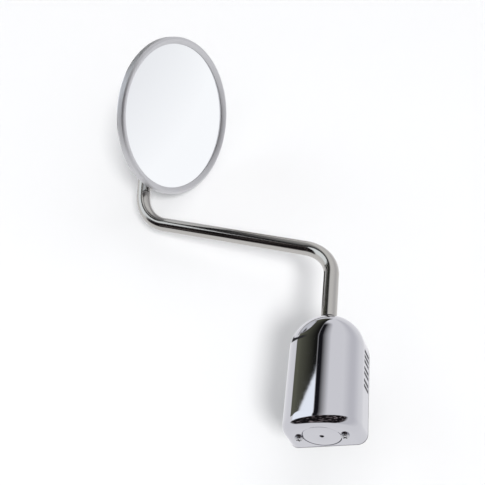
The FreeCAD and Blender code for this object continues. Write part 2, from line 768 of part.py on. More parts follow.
def head_rivets():
    rivets = []
    back = -SHELL_DEPTH - BRACKET_THICK
    for y in (-RIVET_Y, RIVET_Y):
        for z in (-RIVET_Z, RIVET_Z):
            head = Part.makeCylinder(RIVET_HEAD_R, RIVET_HEAD_THICK, vector(back, y, z), -X)
            rim = [edge for edge in head.Edges if edge.BoundBox.XMax < back - PAST]
            rivets.append(head.makeFillet(RIVET_HEAD_ROUND, rim))
    shanks = bracket_rivet_shanks().Solids
    whole = [head.fuse(shank).removeSplitter() for head, shank in zip(rivets, shanks)]
    return on_head(Part.makeCompound(whole))


def head_bracket():
    """The plate on the shell's back, with two ears for the tilt bolt."""
    front = -SHELL_DEPTH
    back = front - BRACKET_THICK
    low = (back, -BRACKET_HALF_WIDTH, -BRACKET_HALF_HEIGHT)
    bracket = box(low, (front, BRACKET_HALF_WIDTH, BRACKET_HALF_HEIGHT))
    corners = [edge for edge in bracket.Edges if edge.BoundBox.XLength > BRACKET_THICK - NEAR]
    bracket = bracket.makeFillet(BRACKET_CORNER, corners)
    for side in (-1, 1):
        low_y, high_y = sorted((side * EAR_INNER, side * (EAR_INNER + EAR_THICK)))
        ear = box((-KNUCKLE_BEHIND, low_y, -EAR_R), (front - NEAR, high_y, EAR_R))
        eye = Part.makeCylinder(EAR_R, EAR_THICK, vector(-KNUCKLE_BEHIND, low_y, 0), Y)
        bracket = bracket.fuse([ear, eye])
    bolt_start = vector(-KNUCKLE_BEHIND, -REACH / 2, 0)
    bolt_hole = Part.makeCylinder(TILT_BOLT_R, REACH, bolt_start, Y)
    bracket = bracket.removeSplitter().cut(bolt_hole)
    return on_head(bracket.cut(bracket_rivet_shanks()))


def tilt_washers():
    """Two fibre washers that grip the tongue between the ears."""
    washers = []
    for side in (-1, 1):
        low_y = min(side * WASHER_INNER, side * EAR_INNER)
        place = vector(-KNUCKLE_BEHIND, low_y, 0)
        thick = EAR_INNER - WASHER_INNER
        washer = Part.makeCylinder(EAR_R, thick, place, Y)
        washers.append(washer.cut(Part.makeCylinder(TILT_BOLT_R, thick, place, Y)))
    return on_head(Part.makeCompound(washers))


def tilt_bolt():
    ear_face = EAR_INNER + EAR_THICK
    head_place = vector(-KNUCKLE_BEHIND, -ear_face - TILT_BOLT_HEAD, 0)
    head = hexagon(TILT_NUT_FLATS, TILT_BOLT_HEAD, head_place, Y)
    length = 2 * ear_face + TILT_NUT_THICK + BOLT_PAST_NUT
    shank = Part.makeCylinder(TILT_BOLT_R, length, vector(-KNUCKLE_BEHIND, -ear_face, 0), Y)
    return on_head(head.fuse(shank).removeSplitter())


def tilt_nut():
    place = vector(-KNUCKLE_BEHIND, EAR_INNER + EAR_THICK, 0)
    return on_head(hexagon(TILT_NUT_FLATS, TILT_NUT_THICK, place, Y, TILT_BOLT_R))


SUB_PARTS = [
    base_gasket, mount_plate, pivot_bracket, web_rivets, base_cover, upper_bush, lower_bush,
    friction_ring, tube_seal, end_disc, foot_screws,
    arm_tube, tube_end_cap, arm_collar, cross_pin, spindle_plug, thrust_washer, disc_springs, lock_nut,
    clamp_saddle, clamp_cap, clamp_liner, clamp_screws, clamp_nuts,
    mirror_glass, foam_pad, backing_plate, glass_seal, rim_bezel, back_shell, stiffener_plate,
    head_rivets, head_bracket, tilt_washers, tilt_bolt, tilt_nut,
]

os.makedirs("parts", exist_ok=True)
for sub_part in SUB_PARTS:
    save(sub_part.__name__, sub_part())
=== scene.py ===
import json
import math

import bmesh
import bpy
from mathutils import Matrix, Vector


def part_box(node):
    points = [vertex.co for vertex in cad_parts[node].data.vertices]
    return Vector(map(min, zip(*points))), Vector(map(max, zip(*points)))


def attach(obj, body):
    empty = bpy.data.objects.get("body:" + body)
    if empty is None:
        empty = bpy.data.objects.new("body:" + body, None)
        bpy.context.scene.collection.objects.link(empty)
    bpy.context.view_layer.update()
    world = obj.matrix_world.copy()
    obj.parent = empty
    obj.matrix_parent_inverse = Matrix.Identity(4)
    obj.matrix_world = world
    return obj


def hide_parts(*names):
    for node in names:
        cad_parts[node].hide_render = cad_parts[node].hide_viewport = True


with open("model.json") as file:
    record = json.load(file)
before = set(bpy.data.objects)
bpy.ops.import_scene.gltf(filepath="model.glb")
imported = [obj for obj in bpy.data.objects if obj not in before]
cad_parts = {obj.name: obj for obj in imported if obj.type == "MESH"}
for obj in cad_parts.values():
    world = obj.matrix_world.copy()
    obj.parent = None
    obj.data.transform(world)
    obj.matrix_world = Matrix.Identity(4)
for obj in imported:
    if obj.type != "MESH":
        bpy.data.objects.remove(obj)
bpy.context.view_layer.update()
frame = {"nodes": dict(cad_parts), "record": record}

# A round convex vehicle mirror on a cranked tube arm that swivels in a domed chrome base.
# Metres. +Y points into the panel, the arm leaves towards -X and the mirror looks along +X.
MM = 0.001
X = Vector((1, 0, 0))
Y = Vector((0, 1, 0))
Z = Vector((0, 0, 1))

# --- base -----------------------------------------------------------------------------
COVER_LOW, COVER_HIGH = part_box("base_cover")
# The painted marks stand out of the cover's side, and the cover is narrower by that much.
MARK_PROUD = 0.05 * MM
MARK_THICK = 0.3 * MM
MARK_LENGTH = 15 * MM
MARK_WIDTH = 3.4 * MM
MARK_EDGE = 0.12 * MM
COVER_HALF_WIDTH = COVER_HIGH.x - MARK_PROUD
COVER_FRONT = COVER_LOW.y
COVER_BACK = COVER_HIGH.y
SHOULDER_Z = COVER_HIGH.z - COVER_HALF_WIDTH
COVER_WALL = 2.5 * MM
FRONT_CROWN_R = 64 * MM
SIDE_ROUND = 26 * MM
FOOT_ROUND = 9.2 * MM
PIVOT = Vector((0, -20 * MM, 0))
SEAL_R = 9.6 * MM
DISC_R = 17.6 * MM
DISC_GAP = 0.35 * MM
DISC_EDGE_ROUND = 1.1 * MM
DISC_THICK = 2.5 * MM
DISC_FLANGE_THICK = 1.2 * MM
DISC_FLANGE_LAP = 0.7 * MM
DISC_HOLE_R = 2.0 * MM
FOOT_SCREW_X = 21.2 * MM
FOOT_SCREW_HEAD_R = 3.9 * MM
FOOT_SCREW_HEAD = 2.4 * MM
FOOT_SCREW_SHANK_R = 1.75 * MM
FOOT_SCREW_LENGTH = 21 * MM
RECESS_DEPTH = 1.3 * MM
RECESS_LENGTH = 5.0 * MM
RECESS_WIDTH = 1.1 * MM

# --- arm --------------------------------------------------------------------------------
TUBE_R = 7.97 * MM
TUBE_WALL = 1.5 * MM
BEND_R = 40 * MM
TUBE_FOOT = PIVOT + Z * (-43 * MM)
FIRST_CORNER = PIVOT + Z * (150.4 * MM)
RUN_LENGTH = 239.6 * MM
RUN_RISE = math.radians(15.4)
ARM_SWING = math.radians(8.5)
TUBE_ABOVE_CLAMP_CENTRE = 16 * MM
BEND_STEPS = 40
TUBE_TURNS = 64
CAP_LID = 3 * MM
CAP_STEM = 10 * MM
CAP_DIMPLE_R = 1.6 * MM
CAP_DIMPLE_DEPTH = 0.5 * MM

# --- head -------------------------------------------------------------------------------
FACE_DOWN = math.radians(22.4)
FACE_TURN = math.radians(-1.6)
KNUCKLE_BEHIND = 26.5 * MM
GLASS_R = 88 * MM
SIGHT_R = 85.3 * MM
GLASS_CURVE_R = 600 * MM
GLASS_THICK = 2.2 * MM
RIM_R = 93.5 * MM
RIM_HEIGHT = 3.9 * MM
RIM_CREST_R = 89.9 * MM
RIM_THICK = 1.25 * MM
RIM_SKIRT = 5 * MM
RIM_SHOULDER = 1.0 * MM
RIM_BOW_DROP = 0.75 * MM
RIM_BOW_IN = 1.05 * MM
SHELL_THICK = 1.0 * MM
SHELL_LIP = 0.6 * MM
SHELL_WALL_END = -7 * MM
SHELL_BACK = -18 * MM
SHELL_FLAT_R = 20 * MM
SHELL_BOW_R = 62 * MM
SHELL_BOW_BACK = -13.9 * MM
HEAD_TURNS = 256
RIVET_BACK = -20 * MM
RIVET_SIDE = 9 * MM
RIVET_UP = 12 * MM
RIVET_R = 2.0 * MM
RIVET_HEAD_R = 3.2 * MM
RIVET_HEAD_THICK = 1.8 * MM

# --- camera and light --------------------------------------------------------------------
CAMERA_PLACE = Vector((194, -606.2, -359.4)) * MM
CAMERA_YAW = -27.264
CAMERA_PITCH = 39.561
CAMERA_ROLL = 9.119
CAMERA_LENS = 55.67
SENSOR_WIDTH = 36
LAMP_STRENGTH = 2.1
LAMP_WIDTH = math.radians(16)
LAMP_FROM_RIGHT = 0.17
LAMP_FROM_ABOVE = 0.03
BACKDROP_GAP = 8 * MM
BACKDROP_HALF_SIZE = 1.5
FLOOR_HEIGHT = -0.9
FLOOR_HALF_SIZE = 4.0
PAPER_LEVEL = 0.8
FLOOR_GLOW = 0.1

# What the chrome reflects: panels placed by direction from the object. Azimuth is 0 towards
# -Y and 90 towards +X. Each reach is low, high and the softness of its edges, in degrees.
WALL_ACROSS = (70, 100, 25)
ROOM_ACROSS = (-76, -19, 1.5)
ROOM_OVER_HORIZON = (0, 60, 0.3)
ROOM_DEEPENS = (-60, -24)
HORIZON_AT_FRONT = 32.8
HORIZON_SLOPE = 0.116
WINDOW_ACROSS = (-60, -19.5, 0.6)
WINDOW_UNDER_HORIZON = (-42, 0, 0.3)
WINDOW_LIGHT = (1.3, 1.38, 1.46, 1)
POST_LEFT_EDGE = (-20, -18)
POST_RIGHT_EDGE = (4, -12)
POST_UP = (-8, 60, 4)
CEILING_ACROSS = (-136, -47, 6)
CEILING_UP = (35, 39.5, 0.5)
GROUND_ACROSS = (-76, 66, 5)
GROUND_UP = (-130, -4, 2)
GROUND_SLOPE = 0.16
CLUTTER_SCALE = 7.0
CLUTTER_EDGE = (0.56, 0.64)
ROOM_LIGHT = (1.0, 1.0, 1.02, 1)
SEEN_BACKGROUND = (0.96, 0.96, 0.97, 1)

JOINTS = {joint["name"]: joint for joint in frame["record"]["behaviour"]["joints"]}
POST = Vector(JOINTS["clamp_turn"]["axis"]).normalized()
CLAMP_CENTRE = Vector(JOINTS["clamp_turn"]["pos_m"])
KNUCKLE = Vector(JOINTS["head_tilt"]["pos_m"])
TILT_AXIS = -Vector(JOINTS["head_tilt"]["axis"]).normalized()
FACE = Vector((
    math.cos(FACE_DOWN) * math.cos(FACE_TURN),
    math.cos(FACE_DOWN) * math.sin(FACE_TURN),
    -math.sin(FACE_DOWN),
))
FACE_UP = FACE.cross(TILT_AXIS)
FACE_CENTRE = KNUCKLE + FACE * KNUCKLE_BEHIND
CLAMP_FORWARD = TILT_AXIS.cross(POST)
RUN = Vector((
    -math.cos(ARM_SWING) * math.cos(RUN_RISE),
    -math.sin(ARM_SWING) * math.cos(RUN_RISE),
    math.sin(RUN_RISE),
))


def placed(centre, forward, side, up):
    """The matrix that turns X, Y and Z into three directions and moves the origin."""
    turn = Matrix((forward, side, up)).transposed().to_4x4()
    return Matrix.Translation(centre) @ turn


HEAD = placed(FACE_CENTRE, FACE, TILT_AXIS, FACE_UP)
UNDER_BASE = placed(PIVOT + Z * COVER_LOW.z, -Z, X, -Y)


# --- materials ----------------------------------------------------------------------------
def colour(code):
    """An sRGB hex value as linear RGBA."""
    levels = [int(code[i:i + 2], 16) / 255 for i in (1, 3, 5)]
    linear = [v / 12.92 if v <= 0.04045 else ((v + 0.055) / 1.055) ** 2.4 for v in levels]
    return (*linear, 1.0)


def add(tree, kind, sockets=None, **settings):
    """Adds a node. sockets gives its inputs, by name or number, values or other nodes' outputs."""
    made = tree.nodes.new(kind)
    for name, value in settings.items():
        setattr(made, name, value)
    for socket, value in (sockets or {}).items():
        if isinstance(value, bpy.types.NodeSocket):
            tree.links.new(value, made.inputs[socket])
        else:
            made.inputs[socket].default_value = value
    return made


def new_material(name, base, metallic, **constants):
    """An empty material with its shader, whose constants are set on the shader's own sockets."""
    material = bpy.data.materials.new(name)
    material.use_nodes = True
    tree = material.node_tree
    shader = tree.nodes["Principled BSDF"]
    shader.inputs["Base Color"].default_value = colour(base)
    shader.inputs["Metallic"].default_value = metallic
    for socket, value in constants.items():
        shader.inputs[socket.replace("_", " ")].default_value = value
    return material, tree, shader


def surface_pattern(tree, shader, size, roughness, depth, stretch=(1, 1, 1), place=None,
                    detail=4.0):
    """Noise of a real grain size that varies the roughness and gives relief of a real depth."""
    if place is None:
        place = add(tree, "ShaderNodeTexCoord").outputs["Object"]
    scaled = add(tree, "ShaderNodeMapping", {"Vector": place, "Scale": stretch})
    noise = add(tree, "ShaderNodeTexNoise",
                {"Vector": scaled.outputs[0], "Scale": 1 / size, "Detail": detail})
    low, high = roughness
    gloss = add(tree, "ShaderNodeMapRange",
                {"Value": noise.outputs["Fac"], "From Min": 0.3, "From Max": 0.7,
                 "To Min": low, "To Max": high})
    tree.links.new(gloss.outputs[0], shader.inputs["Roughness"])
    bump = add(tree, "ShaderNodeBump",
               {"Height": noise.outputs["Fac"], "Distance": depth, "Strength": 1.0})
    tree.links.new(bump.outputs[0], shader.inputs["Normal"])


def attribute(tree, name):
    return add(tree, "ShaderNodeAttribute", attribute_name=name).outputs["Vector"]


def tinted(tree, shader, size, first, second):
    """Colour that drifts between two tones in patches of a real size."""
    place = add(tree, "ShaderNodeTexCoord").outputs["Object"]
    noise = add(tree, "ShaderNodeTexNoise", {"Vector": place, "Scale": 1 / size, "Detail": 3.0})
    ramp = add(tree, "ShaderNodeValToRGB", {"Fac": noise.outputs["Fac"]})
    ramp.color_ramp.elements[0].position = 0.35
    ramp.color_ramp.elements[1].position = 0.65
    ramp.color_ramp.elements[0].color = colour(first)
    ramp.color_ramp.elements[1].color = colour(second)
    tree.links.new(ramp.outputs["Color"], shader.inputs["Base Color"])


def decorative_chrome():
    """Decorative chrome plate on a zinc casting: a hard, faintly blue mirror.

    The eye sees crisp reflections that swim slightly where the casting under it is not quite even.
    """
    material, tree, shader = new_material("decorative_chrome_on_zinc", "#c6c6cb", 1.0)
    surface_pattern(tree, shader, 9 * MM, (0.02, 0.055), 0.010 * MM, detail=1.5)
    return material


def chromed_steel_screw():
    """Chromed screw heads: a little duller than the cover, with rounded tumbled edges."""
    material, tree, shader = new_material("chromed_steel_screw", "#bdbdc0", 1.0)
    surface_pattern(tree, shader, 0.6 * MM, (0.10, 0.22), 0.004 * MM)
    return material


def polished_tube():
    """Drawn stainless tube, polished along its length: grey with sharp lengthwise streaks."""
    material, tree, shader = new_material("polished_stainless_tube", "#b4b2ae", 1.0)
    surface_pattern(tree, shader, 0.7 * MM, (0.07, 0.16), 0.0016 * MM, stretch=(1, 1, 0.012),
                    place=attribute(tree, "drawn"))
    return material


def satin_rim():
    """Satin stainless bezel, brushed round and round: an even pale grey, almost no reflections."""
    material, tree, shader = new_material("satin_stainless_bezel", "#d2d2d4", 1.0)
    surface_pattern(tree, shader, 0.35 * MM, (0.50, 0.62), 0.004 * MM, stretch=(0.02, 0.02, 1),
                    place=attribute(tree, "turned"))
    return material


def spun_shell():
    """Polished stainless pressing: bright, with faint rings left by the polishing wheel."""
    material, tree, shader = new_material("polished_stainless_pressing", "#c4c4c6", 1.0)
    surface_pattern(tree, shader, 0.9 * MM, (0.10, 0.20), 0.003 * MM, stretch=(0.015, 0.015, 1),
                    place=attribute(tree, "turned"))
    return material


def silvered_glass():
    """Convex mirror glass, silvered: a clear cool reflection with a few faint wipe marks."""
    material, tree, shader = new_material("silvered_convex_glass", "#f7f9fa", 1.0,
                                          Coat_Weight=0.4, Coat_Roughness=0.0)
    surface_pattern(tree, shader, 30 * MM, (0.0, 0.035), 0.0, stretch=(1, 2.2, 0.7), detail=6.0)
    return material


def zinc_plate():
    """Zinc-plated pressed steel: mid grey with a soft, slightly cloudy shine."""
    material, tree, shader = new_material("zinc_plated_steel", "#a9abac", 1.0)
    surface_pattern(tree, shader, 1.4 * MM, (0.26, 0.42), 0.006 * MM)
    tinted(tree, shader, 7 * MM, "#a3a5a7", "#b5b6b4")
    return material


def bright_zinc():
    """Bright zinc on screws and nuts, slightly yellow and shinier than the pressings."""
    material, tree, shader = new_material("bright_zinc_fasteners", "#b9b7ae", 1.0)
    surface_pattern(tree, shader, 0.5 * MM, (0.18, 0.32), 0.004 * MM)
    return material


def plain_steel():
    """Oiled mild steel inside the base: darker and duller, with a rolled grain."""
    material, tree, shader = new_material("oiled_mild_steel", "#7f8083", 1.0)
    surface_pattern(tree, shader, 0.8 * MM, (0.35, 0.55), 0.008 * MM, stretch=(1, 1, 0.1))
    tinted(tree, shader, 12 * MM, "#77787b", "#8b8b8c")
    return material


def turned_brass():
    """Turned brass ring: warm yellow with a soft lathe grain."""
    material, tree, shader = new_material("turned_brass", "#b79a55", 1.0)
    surface_pattern(tree, shader, 0.4 * MM, (0.22, 0.36), 0.004 * MM, stretch=(0.2, 0.2, 1))
    return material


def black_rubber():
    """Moulded EPDM rubber: nearly black, matt, with a fine bloom."""
    material, tree, shader = new_material("moulded_epdm_rubber", "#1c1c1d", 0.0, IOR=1.52)
    surface_pattern(tree, shader, 0.5 * MM, (0.62, 0.85), 0.02 * MM)
    tinted(tree, shader, 6 * MM, "#191919", "#242425")
    return material


def black_plastic():
    """Moulded polyethylene cap: black with a low waxy sheen and spark-eroded texture."""
    material, tree, shader = new_material("moulded_black_polyethylene", "#161617", 0.0, IOR=1.51)
    surface_pattern(tree, shader, 0.4 * MM, (0.38, 0.55), 0.012 * MM)
    return material


def acetal():
    """Acetal bearing plastic: milky white, smooth and slippery."""
    material, tree, shader = new_material("acetal_bearing", "#e4e2da", 0.0, IOR=1.48)
    surface_pattern(tree, shader, 1.5 * MM, (0.28, 0.40), 0.005 * MM)
    return material


def foam():
    """Closed-cell foam: soft grey with small open bubbles at the skin."""
    material, tree, shader = new_material("closed_cell_foam", "#5a5c5f", 0.0, IOR=1.45)
    surface_pattern(tree, shader, 0.9 * MM, (0.85, 0.98), 0.12 * MM)
    return material


def backing_board():
    """Pressed fibre board: brown-grey with short fibres."""
    material, tree, shader = new_material("pressed_fibre_board", "#6d6153", 0.0, IOR=1.5)
    surface_pattern(tree, shader, 0.8 * MM, (0.75, 0.92), 0.03 * MM, stretch=(1, 3, 1))
    tinted(tree, shader, 3 * MM, "#655a4d", "#786b5c")
    return material


def vulcanised_fibre():
    """Vulcanised fibre washers: dull brick red with a dry surface."""
    material, tree, shader = new_material("vulcanised_fibre", "#7c3b30", 0.0, IOR=1.5)
    surface_pattern(tree, shader, 0.5 * MM, (0.6, 0.8), 0.01 * MM)
    return material


def engraving_paint():
    """Black paint in shallow marks: flat, with a slightly worn grey here and there."""
    material, tree, shader = new_material("engraving_paint", "#1c1d1f", 0.0, IOR=1.5)
    surface_pattern(tree, shader, 0.7 * MM, (0.4, 0.7), 0.01 * MM)
    tinted(tree, shader, 2.5 * MM, "#17181a", "#3a3b3f")
    return material


FINISHES = {
    "cover_chrome": decorative_chrome(),
    "tube_steel": polished_tube(),
    "shell_steel": spun_shell(),
    "rim_metal": satin_rim(),
    "mirror_glass": silvered_glass(),
    "clamp_steel": zinc_plate(),
    "plain_steel": plain_steel(),
    "screw_steel": bright_zinc(),
    "brass": turned_brass(),
    "rubber": black_rubber(),
    "black_plastic": black_plastic(),
    "bush_plastic": acetal(),
    "foam": foam(),
    "board": backing_board(),
    "fibre": vulcanised_fibre(),
}
SCREW_CHROME = chromed_steel_screw()
MARK_PAINT = engraving_paint()
SLOTS = {part["node"]: part["material_slot"] for part in frame["record"]["subparts"]}


# --- mesh helpers ---------------------------------------------------------------------------
def new_object(name, mesh):
    made = bpy.data.objects.new(name, mesh)
    bpy.context.scene.collection.objects.link(made)
    return made


def modifier(piece, kind, **settings):
    made = piece.modifiers.new(kind.title(), kind)
    for name, value in settings.items():
        setattr(made, name, value)
    return made


def applied(piece):
    """Turns the piece's modifiers into plain mesh."""
    bpy.context.view_layer.update()
    graph = bpy.context.evaluated_depsgraph_get()
    mesh = bpy.data.meshes.new_from_object(piece.evaluated_get(graph), depsgraph=graph)
    piece.modifiers.clear()
    piece.data = mesh
    return piece


def smooth(piece, angle):
    """Smooth faces, with edges that turn more than the angle kept sharp."""
    mesh = piece.data
    mesh.shade_smooth()
    mesh.set_sharp_from_angle(angle=math.radians(angle))
    return piece


def recalculated(mesh):
    """Merges doubles and turns the faces outwards."""
    shape = bmesh.new()
    shape.from_mesh(mesh)
    bmesh.ops.remove_doubles(shape, verts=shape.verts, dist=0.001 * MM)
    bmesh.ops.recalc_face_normals(shape, faces=shape.faces)
    shape.to_mesh(mesh)
    shape.free()


def finish(piece, body, slot, replaced, material=None):
    """Gives a piece its finish and its body, and hides the nodes that it stands for."""
    piece.data.materials.clear()
    piece.data.materials.append(material or FINISHES[slot])
    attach(piece, body)
    if replaced:
        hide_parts(*replaced)
    return piece


def arc(centre, radius, start, end, steps):
    """Points on an arc about a centre, by angles in degrees."""
    points = []
    for i in range(steps + 1):
        angle = math.radians(start + (end - start) * i / steps)
        points.append(Vector((centre[0] + radius * math.cos(angle),
                              centre[1] + radius * math.sin(angle))))
    return points


def through(start, middle, end, steps):
    """Points on the arc through three points."""
    a, b, c = Vector(start), Vector(middle), Vector(end)
    d = 2 * (a.x * (b.y - c.y) + b.x * (c.y - a.y) + c.x * (a.y - b.y))
    aa, bb, cc = a.length_squared, b.length_squared, c.length_squared
    centre = Vector(((aa * (b.y - c.y) + bb * (c.y - a.y) + cc * (a.y - b.y)) / d,
                     (aa * (c.x - b.x) + bb * (a.x - c.x) + cc * (b.x - a.x)) / d))
    first = math.degrees(math.atan2(a.y - centre.y, a.x - centre.x))
    turn = (a - centre).angle_signed(c - centre)
    return arc(centre, (a - centre).length, first, first - math.degrees(turn), steps)


def rounded(points, rounds, steps=5):
    """A closed outline with each corner rounded by its own radius."""
    outline = []
    count = len(points)
    for i, corner in enumerate(points):
        here = Vector(corner)
        radius = rounds[i]
        if radius == 0:
            outline.append(here)
            continue
        before = (Vector(points[i - 1]) - here).normalized()
        after = (Vector(points[(i + 1) % count]) - here).normalized()
        half = before.angle(after) / 2
        centre = here + (before + after).normalized() * (radius / math.sin(half))
        start = here + before * (radius / math.tan(half)) - centre
        end = here + after * (radius / math.tan(half)) - centre
        turn = start.angle_signed(end)
        first = math.atan2(start.y, start.x)
        outline += arc(centre, radius, math.degrees(first), math.degrees(first - turn), steps)
    return outline


def turned_piece(name, outline, place, turns):
    """A closed outline of (forward, radius) points turned about the place's X axis."""
    shape = bmesh.new()
    layer = shape.verts.layers.float_vector.new("turned")
    length = 0.0
    rings = []
    for i, point in enumerate(outline):
        if i:
            length += (point - outline[i - 1]).length
        ring = []
        count = 1 if point.y < 0.001 * MM else turns
        for k in range(count):
            angle = 2 * math.pi * k / turns
            side, up = point.y * math.cos(angle), point.y * math.sin(angle)
            vertex = shape.verts.new(place @ Vector((point.x, side, up)))
            vertex[layer] = Vector((side, up, length))
            ring.append(vertex)
        rings.append(ring)
    for a, b in zip(rings, rings[1:] + rings[:1]):
        if len(a) == 1 and len(b) == 1:
            continue
        for k in range(turns):
            corners = [a[k % len(a)], a[(k + 1) % len(a)], b[(k + 1) % len(b)], b[k % len(b)]]
            distinct = list(dict.fromkeys(corners))
            shape.faces.new(distinct)
    bmesh.ops.recalc_face_normals(shape, faces=shape.faces)
    mesh = bpy.data.meshes.new(name)
    shape.to_mesh(mesh)
    shape.free()
    return new_object(name, mesh)


def cylinder_cutter(radius, low, high, turns=96):
    """An upright cylinder for cutting a hole, between two points."""
    shape = bmesh.new()
    bmesh.ops.create_cone(shape, cap_ends=True, segments=turns, radius1=radius, radius2=radius,
                          depth=(high - low).length)
    shape.transform(Matrix.Translation((low + high) / 2))
    mesh = bpy.data.meshes.new("cutter")
    shape.to_mesh(mesh)
    shape.free()
    return new_object("cutter", mesh)


def cut(piece, cutters):
    """Cuts the cutters out of the piece and removes them."""
    for cutter in cutters:
        modifier(piece, "BOOLEAN", operation="DIFFERENCE", object=cutter, solver="EXACT")
    applied(piece)
    for cutter in cutters:
        bpy.data.objects.remove(cutter)
    return piece


# --- base cover ---------------------------------------------------------------------------
def cover_plan(inset):
    """Half the cover's plan from its back edge to the middle of its front, as (across, y)."""
    side_steps, corner_steps, crown_steps = 6, 20, 14
    corner_x = COVER_HALF_WIDTH - SIDE_ROUND
    crown_y = COVER_FRONT + FRONT_CROWN_R
    corner_y = crown_y - math.sqrt((FRONT_CROWN_R - SIDE_ROUND) ** 2 - corner_x ** 2)
    lean = math.degrees(math.atan2(corner_y - crown_y, corner_x))
    side = COVER_HALF_WIDTH - inset
    points = [Vector((side, COVER_BACK + (corner_y - COVER_BACK) * i / side_steps))
              for i in range(side_steps)]
    points += arc((corner_x, corner_y), SIDE_ROUND - inset, 0, lean, corner_steps)
    points += arc((0, crown_y), FRONT_CROWN_R - inset, lean, -90, crown_steps)[1:]
    points[-1].x = 0
    return points


def grid(shape, rows):
    """Faces between each row of vertices and the next, with triangles where two meet."""
    for upper, lower in zip(rows, rows[1:]):
        for k in range(len(upper) - 1):
            corners = [upper[k], upper[k + 1], lower[k + 1], lower[k]]
            distinct = list(dict.fromkeys(corners))
            if len(distinct) > 2:
                shape.faces.new(distinct)


def base_cover():
    """The cover: upright walls, a dome turned from the same plan over them, a rounded foot."""
    dome_steps, wall_steps, foot_steps = 72, 24, 16
    shape = bmesh.new()
    half = cover_plan(0)
    pole = shape.verts.new((0, COVER_FRONT, SHOULDER_Z))
    dome_rows = []
    for i in range(dome_steps + 1):
        angle = math.pi * i / dome_steps
        row = [shape.verts.new((p.x * math.cos(angle), p.y, SHOULDER_Z + p.x * math.sin(angle)))
               for p in half[:-1]]
        dome_rows.append(row + [pole])
    grid(shape, dome_rows)
    foot_top = COVER_LOW.z + FOOT_ROUND
    levels = [(SHOULDER_Z + (foot_top - SHOULDER_Z) * i / wall_steps, 0.0)
              for i in range(wall_steps)]
    for i in range(foot_steps + 1):
        angle = math.pi / 2 * i / foot_steps
        levels.append((foot_top - FOOT_ROUND * math.sin(angle),
                       FOOT_ROUND * (1 - math.cos(angle))))
    rows = []
    for z, inset in levels:
        plan = cover_plan(inset)
        whole = plan + [Vector((-p.x, p.y)) for p in reversed(plan[:-1])]
        rows.append([shape.verts.new((p.x, p.y, z)) for p in whole])
    grid(shape, rows)
    shape.faces.new(rows[-1])
    mesh = bpy.data.meshes.new("base_cover_shell")
    shape.to_mesh(mesh)
    shape.free()
    recalculated(mesh)
    cover = new_object("base_cover_shell", mesh)
    modifier(cover, "SOLIDIFY", thickness=COVER_WALL, offset=-1.0, use_even_offset=True)
    applied(cover)
    reach = 3 * COVER_WALL
    low, high = PIVOT + Z * (COVER_LOW.z - reach), PIVOT + Z * (COVER_LOW.z + reach)
    top_low, top_high = PIVOT + Z * (COVER_HIGH.z - reach), PIVOT + Z * (COVER_HIGH.z + reach)
    cutters = [
        cylinder_cutter(DISC_R + DISC_GAP, low, high),
        cylinder_cutter(SEAL_R, top_low, top_high),
    ]
    for side in (-1, 1):
        offset = X * (side * FOOT_SCREW_X)
        cutters.append(cylinder_cutter(FOOT_SCREW_SHANK_R, low + offset, high + offset, 32))
    cut(cover, cutters)
    smooth(cover, 40)
    return finish(cover, "base", "cover_chrome", ["base_cover"])


def closing_disc():
    """The disc under the base, with a softly rounded edge and a small hole in its middle."""
    inner_edge = DISC_R + DISC_FLANGE_LAP
    back = -DISC_THICK - DISC_FLANGE_THICK
    outline = rounded(
        [(0, DISC_HOLE_R), (0, DISC_R), (-DISC_THICK, DISC_R), (-DISC_THICK, inner_edge),
         (back, inner_edge), (back, DISC_HOLE_R)],
        [0.5 * MM, DISC_EDGE_ROUND, 0, 0, 0, 0])
    disc = turned_piece("closing_disc_face", outline, UNDER_BASE, 128)
    smooth(disc, 30)
    return finish(disc, "base", "cover_chrome", ["end_disc"])


# --- repeated small pieces -------------------------------------------------------------------
def repeat_tree():
    """Puts one fastener at each point, turned a fixed step further each time."""
    tree = bpy.data.node_groups.new("fastener_at_points", "GeometryNodeTree")
    face = tree.interface
    face.new_socket("Geometry", in_out="INPUT", socket_type="NodeSocketGeometry")
    face.new_socket("Fastener", in_out="INPUT", socket_type="NodeSocketObject")
    face.new_socket("Turn step", in_out="INPUT", socket_type="NodeSocketFloat")
    face.new_socket("Lie", in_out="INPUT", socket_type="NodeSocketVector")
    face.new_socket("Finish", in_out="INPUT", socket_type="NodeSocketMaterial")
    face.new_socket("Geometry", in_out="OUTPUT", socket_type="NodeSocketGeometry")
    given = add(tree, "NodeGroupInput")
    fastener = add(tree, "GeometryNodeObjectInfo", {"Object": given.outputs["Fastener"]})
    index = add(tree, "GeometryNodeInputIndex")
    turn = add(tree, "ShaderNodeMath", {0: index.outputs[0], 1: given.outputs["Turn step"]},
               operation="MULTIPLY")
    about = add(tree, "ShaderNodeCombineXYZ", {"X": turn.outputs[0]})
    lie = add(tree, "FunctionNodeEulerToRotation", {"Euler": given.outputs["Lie"]})
    own = add(tree, "FunctionNodeEulerToRotation", {"Euler": about.outputs[0]})
    both = add(tree, "FunctionNodeRotateRotation",
               {"Rotation": lie.outputs[0], "Rotate By": own.outputs[0]}, rotation_space="LOCAL")
    copies = add(tree, "GeometryNodeInstanceOnPoints",
                 {"Points": given.outputs["Geometry"], "Instance": fastener.outputs["Geometry"],
                  "Rotation": both.outputs[0]})
    real = add(tree, "GeometryNodeRealizeInstances", {"Geometry": copies.outputs[0]})
    made = add(tree, "GeometryNodeSetMaterial",
               {"Geometry": real.outputs[0], "Material": given.outputs["Finish"]})
    add(tree, "NodeGroupOutput", {0: made.outputs[0]})
    return tree


def set_input(nodes_modifier, name, value):
    """Sets a node group's input by its name."""
    for item in nodes_modifier.node_group.interface.items_tree:
        if item.in_out == "INPUT" and item.name == name:
            nodes_modifier[item.identifier] = value


